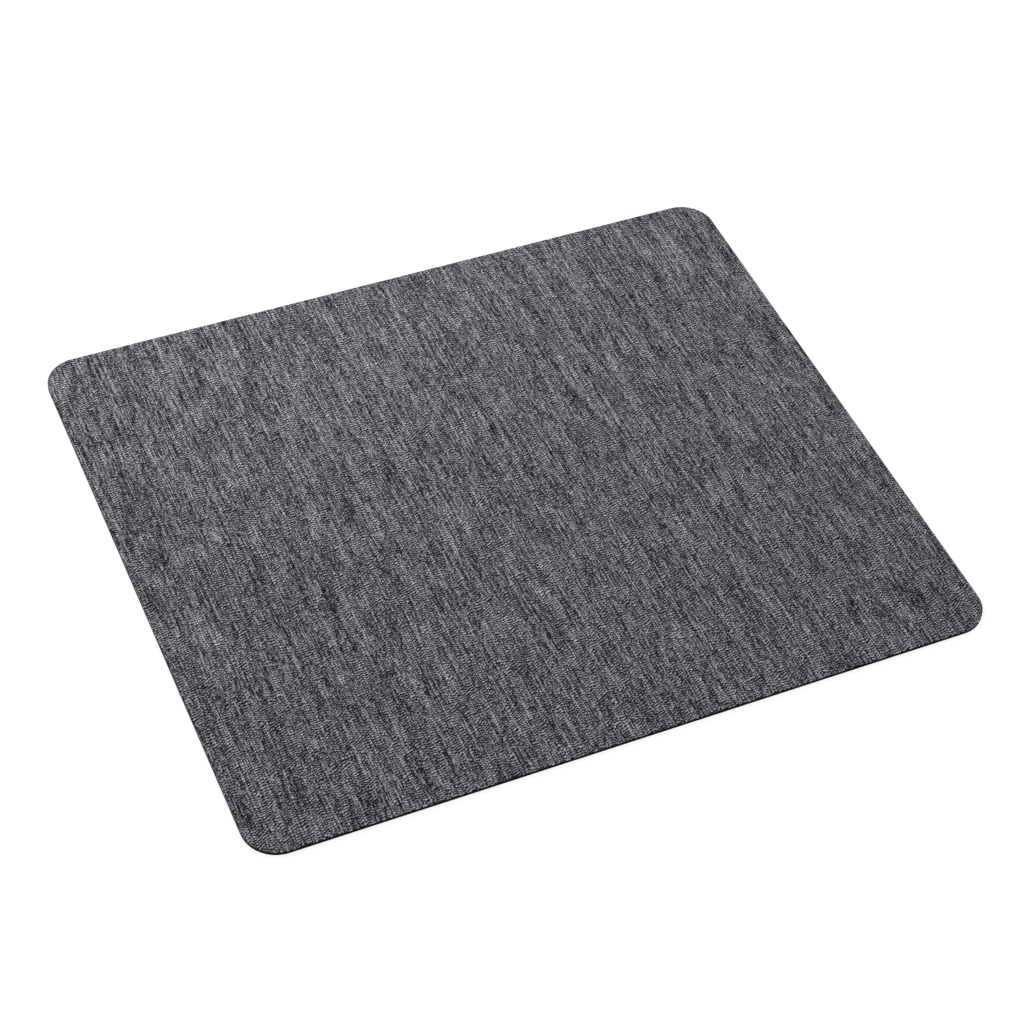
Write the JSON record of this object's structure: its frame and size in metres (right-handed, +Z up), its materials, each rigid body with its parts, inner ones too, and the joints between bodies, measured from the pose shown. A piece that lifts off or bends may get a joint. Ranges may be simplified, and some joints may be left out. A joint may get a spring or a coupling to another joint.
{
  "type": "mouse pad",
  "caption": "Thin rectangular mouse pad with round corners: heather grey knit cloth bonded by an adhesive film to a black rubber base with an anti-slip diamond tread underneath.",
  "frame": {"origin": "middle of the underside, on the desk", "axes": "+X along the width, to the user's right; +Y along the depth, away from the user; +Z up, out of the cloth"},
  "size_m": [0.235, 0.2, 0.0016],
  "materials": {
    "rubber": "matte",
    "adhesive": "satin",
    "cloth": "matte"
  },
  "bodies": {
    "root": {"rubber_base": "rubber", "adhesive_film": "adhesive", "fabric_top": "cloth"}
  },
  "joints": []
}
